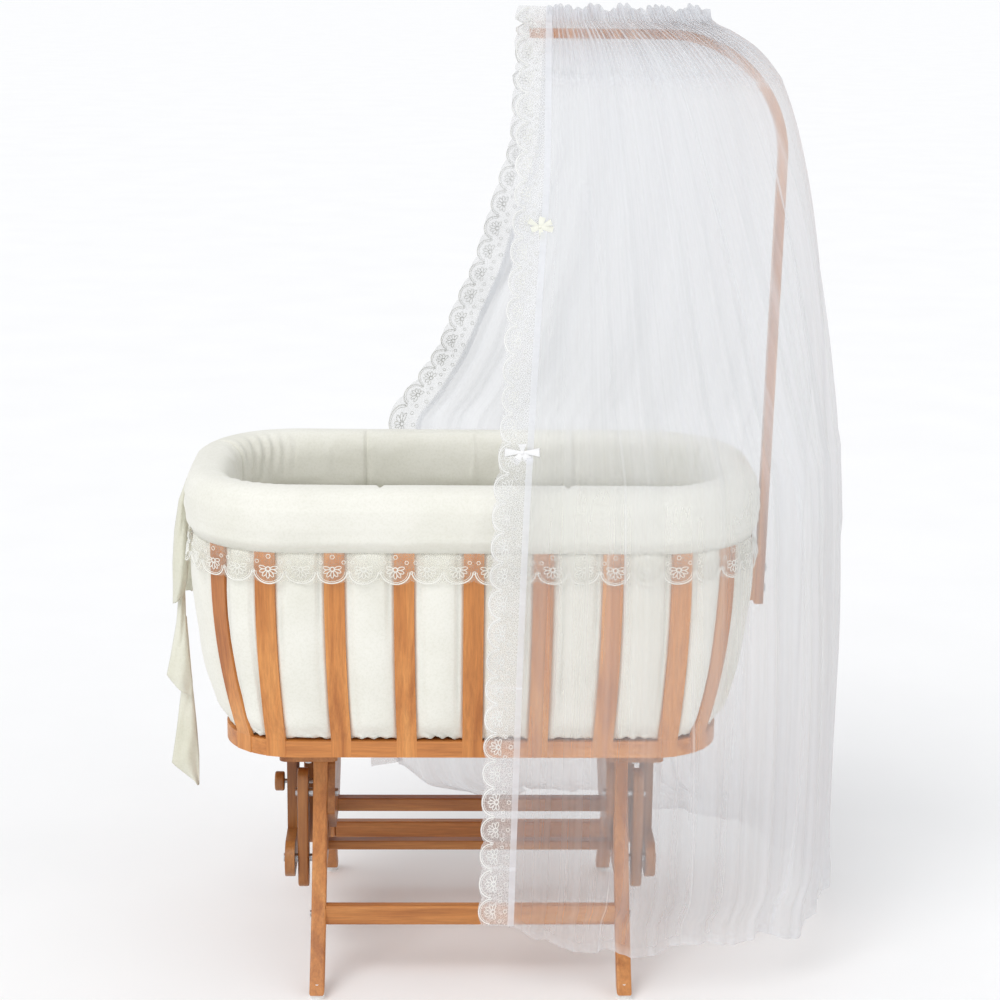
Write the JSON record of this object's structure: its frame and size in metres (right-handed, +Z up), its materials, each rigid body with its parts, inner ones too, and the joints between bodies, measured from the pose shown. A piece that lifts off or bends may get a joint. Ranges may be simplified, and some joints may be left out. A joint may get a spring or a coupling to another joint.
{
  "type": "baby cradle",
  "caption": "Wooden baby cradle on a glider stand: slatted basket with padded ivory bumper and liner, bent mast, and a lace-edged tulle canopy.",
  "frame": {"origin": "on the floor, under the middle of the stand's four feet", "axes": "+Z up, +X along the basket towards the canopy mast, -Y the front where the canopy's lace edge hangs"},
  "size_m": [1.109, 0.56, 1.568],
  "materials": {
    "wood": "honey stain under satin lacquer",
    "white_plastic": "matte",
    "steel": "zinc plated",
    "ivory_cotton": "matte woven cotton over padding",
    "mattress_cotton": "matte woven cotton over foam",
    "cream_ribbon": "soft woven cotton",
    "tulle": "sheer net",
    "lace": "embroidered net"
  },
  "bodies": {
    "link_front_left": {"link_front_left": "wood", "link_bushes_front_left": "steel"},
    "link_front_right": {"link_front_right": "wood", "link_bushes_front_right": "steel"},
    "link_rear_left": {"link_rear_left": "wood", "link_bushes_rear_left": "steel"},
    "link_rear_right": {"link_rear_right": "wood", "link_bushes_rear_right": "steel"},
    "lock": {"lock_knob": "wood", "lock_stud": "steel"},
    "stand": {"end_board_left": "wood", "end_board_right": "wood", "end_rail_left": "wood", "end_rail_right": "wood", "foot_glides": "white_plastic", "front_lower_rail": "wood", "leg_front_left": "wood", "leg_front_right": "wood", "leg_rear_left": "wood", "leg_rear_right": "wood", "lower_stretcher": "wood", "rear_lower_rail": "wood", "stand_screws": "steel", "upper_pivot_bolts": "steel", "upper_stretcher": "wood"},
    "basket": {"base_panel": "wood", "base_ring": "wood", "basket_screws": "steel", "bumper": "ivory_cotton", "canopy_net": "tulle", "corner_slats": "wood", "cross_board_left": "wood", "cross_board_right": "wood", "hanger_left": "wood", "hanger_right": "wood", "lace_trim": "lace", "liner": "ivory_cotton", "lower_pivot_bolts": "steel", "mast": "wood", "mast_holder": "wood", "mast_screws": "steel", "mattress": "mattress_cotton", "sash": "cream_ribbon", "slat_end_left": "wood", "slat_end_right": "wood", "slat_front_1": "wood", "slat_front_2": "wood", "slat_front_3": "wood", "slat_front_4": "wood", "slat_front_5": "wood", "slat_front_6": "wood", "slat_front_7": "wood", "slat_rear_1": "wood", "slat_rear_2": "wood", "slat_rear_3": "wood", "slat_rear_4": "wood", "slat_rear_5": "wood", "slat_rear_6": "wood", "slat_rear_7": "wood", "top_rail": "wood"}
  },
  "joints": [
    {"name": "glide", "type": "hinge", "parent": "stand", "child": "link_front_left", "pos_m": [-0.277, -0.095, 0.288], "axis": [1, 0, 0], "range_deg": [-20, 20]},
    {"name": "swing_front_right", "type": "hinge", "parent": "stand", "child": "link_front_right", "pos_m": [0.277, -0.095, 0.288], "axis": [1, 0, 0], "range_deg": [-20, 20]},
    {"name": "swing_rear_left", "type": "hinge", "parent": "stand", "child": "link_rear_left", "pos_m": [-0.277, 0.095, 0.288], "axis": [1, 0, 0], "range_deg": [-20, 20]},
    {"name": "swing_rear_right", "type": "hinge", "parent": "stand", "child": "link_rear_right", "pos_m": [0.277, 0.095, 0.288], "axis": [1, 0, 0], "range_deg": [-20, 20]},
    {"name": "basket_level", "type": "hinge", "parent": "link_front_left", "child": "basket", "pos_m": [-0.277, -0.095, 0.172], "axis": [1, 0, 0], "range_deg": [-20, 20]},
    {"name": "knob_turn", "type": "hinge", "parent": "basket", "child": "lock", "pos_m": [-0.322, 0, 0.271], "axis": [1, 0, 0], "continuous": true}
  ],
  "couplings": [
    {"joint": "basket_level", "follows": "glide", "ratio": -1},
    {"joint": "swing_front_right", "follows": "glide", "ratio": 1},
    {"joint": "swing_rear_left", "follows": "glide", "ratio": 1},
    {"joint": "swing_rear_right", "follows": "glide", "ratio": 1}
  ]
}
